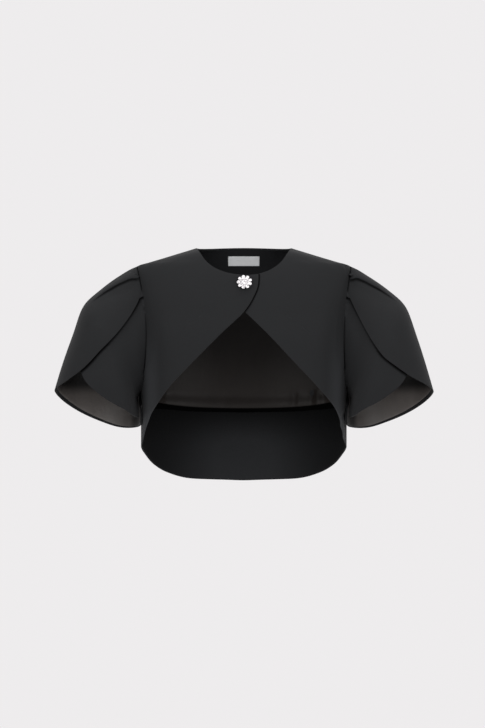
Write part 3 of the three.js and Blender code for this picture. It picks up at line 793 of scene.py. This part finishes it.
class JacketCloth(PropertyGroup):
    shell: FloatVectorProperty(name="Shell", description="Colour of the crepe", subtype="COLOR",
                               default=(0.0101, 0.0106, 0.0114), min=0, max=1)
    lining: FloatVectorProperty(name="Lining", description="Colour of the satin", subtype="COLOR",
                                default=(0.0135, 0.0115, 0.0105), min=0, max=1)
    # painted light: the same lining satin as the back's, made several times lighter to stand in for the light
    # it catches inside the sleeves
    lit_sleeve_lining: FloatVectorProperty(name="Sleeve lining", description="Colour of the satin in the sleeves",
                                       subtype="COLOR", default=(0.075, 0.067, 0.062), min=0, max=1)
    label: FloatVectorProperty(name="Label", description="Colour of the label ribbon", subtype="COLOR",
                               default=(0.53, 0.545, 0.55), min=0, max=1)
    metal: FloatVectorProperty(name="Plating", description="Colour of the button's metal", subtype="COLOR",
                               default=(0.82, 0.82, 0.84), min=0, max=1)
    pebble: FloatProperty(name="Pebble", description="Size of the crepe's pebbles", subtype="DISTANCE",
                          unit="LENGTH", default=0.0009, min=0.0002, max=0.005)
    pleat: FloatProperty(name="Pleat", description="How far the sleeve head's pleat stands up",
                         subtype="DISTANCE", unit="LENGTH", default=0.0017, min=0, max=0.01)
    smoothness: IntProperty(name="Smoothness", description="Subdivisions of the cloth",
                            default=2, min=1, max=3)


class JacketStudio(PropertyGroup):
    distance: FloatProperty(name="Camera distance", description="From the camera to the shoulders' plane",
                            subtype="DISTANCE", unit="LENGTH", default=3.0, min=1, max=10)
    height: FloatProperty(name="Camera height", description="Below the neck points", subtype="DISTANCE",
                          unit="LENGTH", default=-0.204, min=-2, max=1)
    view_height: FloatProperty(name="Seen height", description="Height of the view at the shoulders' plane",
                               subtype="DISTANCE", unit="LENGTH", default=1.28128, min=0.3, max=4)
    backdrop: FloatVectorProperty(name="Backdrop", description="Colour behind the jacket", subtype="COLOR",
                                  default=(0.855, 0.84, 0.847), min=0, max=1)


class JACKET_OT_shell(Operator):
    """Fronts and back in crepe"""
    bl_idname = "jacket.shell"
    bl_label = "Shell"

    def execute(self, context):
        settings = context.scene.jacket_cloth
        back = shell_cloth("back", "crepe", settings)
        seams = surface_of(back)
        over = shell_cloth("front_right", "front", settings,
                           lambda bm: sew_to(bm, seams))
        cover = surface_of(over)

        def under_front(bm):
            sew_to(bm, seams)
            shade_under(bm, cover, 1.6 * MM, 3.6 * MM)
        shell_cloth("front_left", "front", settings, under_front, finer=1)
        return {"FINISHED"}


class JACKET_OT_sleeves(Operator):
    """Petals of both sleeves with their linings"""
    bl_idname = "jacket.sleeves"
    bl_label = "Sleeves"

    def execute(self, context):
        settings = context.scene.jacket_cloth
        for side in ("right", "left"):
            name = f"sleeve_{side}_"
            front = f"front_{side}"
            body = [surface_of(bpy.data.objects[piece + "_cloth"]) for piece in (front, "back")]

            def over_petal(bm):
                sew_sleeve(bm, body)
                add_pleat(bm, side, settings)
            over = shell_cloth(name + "over_petal", "petal", settings, over_petal, finer=1)
            cover = surface_of(over)

            def under_petal(bm):
                sew_sleeve(bm, body)
                shade_under(bm, cover, 3.6 * MM, 6.2 * MM)
            shell_cloth(name + "under_petal", "petal", settings, under_petal, finer=1)
            lining_cloth(name + "lining", "sleeve_satin", settings)
        return {"FINISHED"}


class JACKET_OT_inside(Operator):
    """Facings, lining and label inside the back"""
    bl_idname = "jacket.inside"
    bl_label = "Inside"

    def execute(self, context):
        settings = context.scene.jacket_cloth
        shell_cloth("back_neck_facing", "facing", settings)
        shell_cloth("back_hem_facing", "facing", settings)
        lining_cloth("back_lining", "satin", settings)
        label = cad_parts["neck_label"]
        label.data.materials.clear()
        label.data.materials.append(finish_for("ribbon", settings))
        label_stitches(settings)
        return {"FINISHED"}


class JACKET_OT_button(Operator):
    """Flower button of cut stones"""
    bl_idname = "jacket.button"
    bl_label = "Button"

    def execute(self, context):
        settings = context.scene.jacket_cloth
        for name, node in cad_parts.items():
            if name.startswith("button"):
                node.data.materials.clear()
                look = "crystal" if "stone" in name else "plating"
                node.data.materials.append(finish_for(look, settings))
        inner_stones(settings)
        return {"FINISHED"}


class JACKET_OT_studio(Operator):
    """Floor, lights, backdrop and camera"""
    bl_idname = "jacket.studio"
    bl_label = "Studio"

    def execute(self, context):
        scene = context.scene
        studio = scene.jacket_studio
        settings = scene.jacket_cloth
        lens = bpy.data.cameras.new("camera")
        lens.sensor_width = 36.0
        lens.lens = 36.0 * studio.distance / studio.view_height
        camera = bpy.data.objects.new("camera", lens)
        camera.location = (-0.0023, -studio.distance, studio.height)
        camera.rotation_euler = (radians(90), 0, 0)
        scene.collection.objects.link(camera)
        scene.camera = camera

        bm = bmesh.new()
        bmesh.ops.create_circle(bm, cap_ends=True, segments=64, radius=1.15)
        bmesh.ops.translate(bm, verts=bm.verts, vec=(0, 0, -1.42))
        floor = object_from(bm, "studio_floor")
        floor.data.materials.append(finish_for("paper", settings))

        world = bpy.data.worlds.new("backdrop")
        world.use_nodes = True
        world.node_tree.nodes["Background"].inputs["Color"].default_value = (*studio.backdrop, 1)
        world.node_tree.nodes["Background"].inputs["Strength"].default_value = 1.0
        scene.world = world

        for name, place, size, power in (
            ("key", (-1.5, -2.6, 1.0), 1.8, 42),
            ("fill", (1.8, -2.5, 0.6), 1.8, 34),
            ("top", (0.0, 0.3, 1.9), 1.4, 16),
        ):
            light = bpy.data.lights.new(name, "AREA")
            light.energy = power
            light.size = size
            lamp = bpy.data.objects.new(name, light)
            lamp.location = place
            aim = Vector((0, 0, -0.2)) - Vector(place)
            lamp.rotation_euler = aim.to_track_quat("-Z", "Y").to_euler()
            scene.collection.objects.link(lamp)
        scene.view_settings.view_transform = "Standard"
        return {"FINISHED"}


class JACKET_PT_panel(Panel):
    bl_label = "Bolero Jacket"
    bl_space_type = "VIEW_3D"
    bl_region_type = "UI"
    bl_category = "Jacket"

    def draw(self, context):
        for group in (context.scene.jacket_cloth, context.scene.jacket_studio):
            for name in group.__annotations__:
                self.layout.prop(group, name)
        for operator in OPERATORS:
            self.layout.operator(operator.bl_idname)


OPERATORS = (JACKET_OT_shell, JACKET_OT_sleeves, JACKET_OT_inside, JACKET_OT_button, JACKET_OT_studio)
CLASSES = (JacketCloth, JacketStudio, *OPERATORS, JACKET_PT_panel)


def register():
    for cls in CLASSES:
        bpy.utils.register_class(cls)
    bpy.types.Scene.jacket_cloth = PointerProperty(type=JacketCloth)
    bpy.types.Scene.jacket_studio = PointerProperty(type=JacketStudio)


def unregister():
    del bpy.types.Scene.jacket_studio
    del bpy.types.Scene.jacket_cloth
    for cls in reversed(CLASSES):
        bpy.utils.unregister_class(cls)


def main():
    register()
    bpy.ops.jacket.shell()
    bpy.ops.jacket.sleeves()
    bpy.ops.jacket.inside()
    bpy.ops.jacket.button()
    bpy.ops.jacket.studio()


if __name__ == "__main__":
    main()
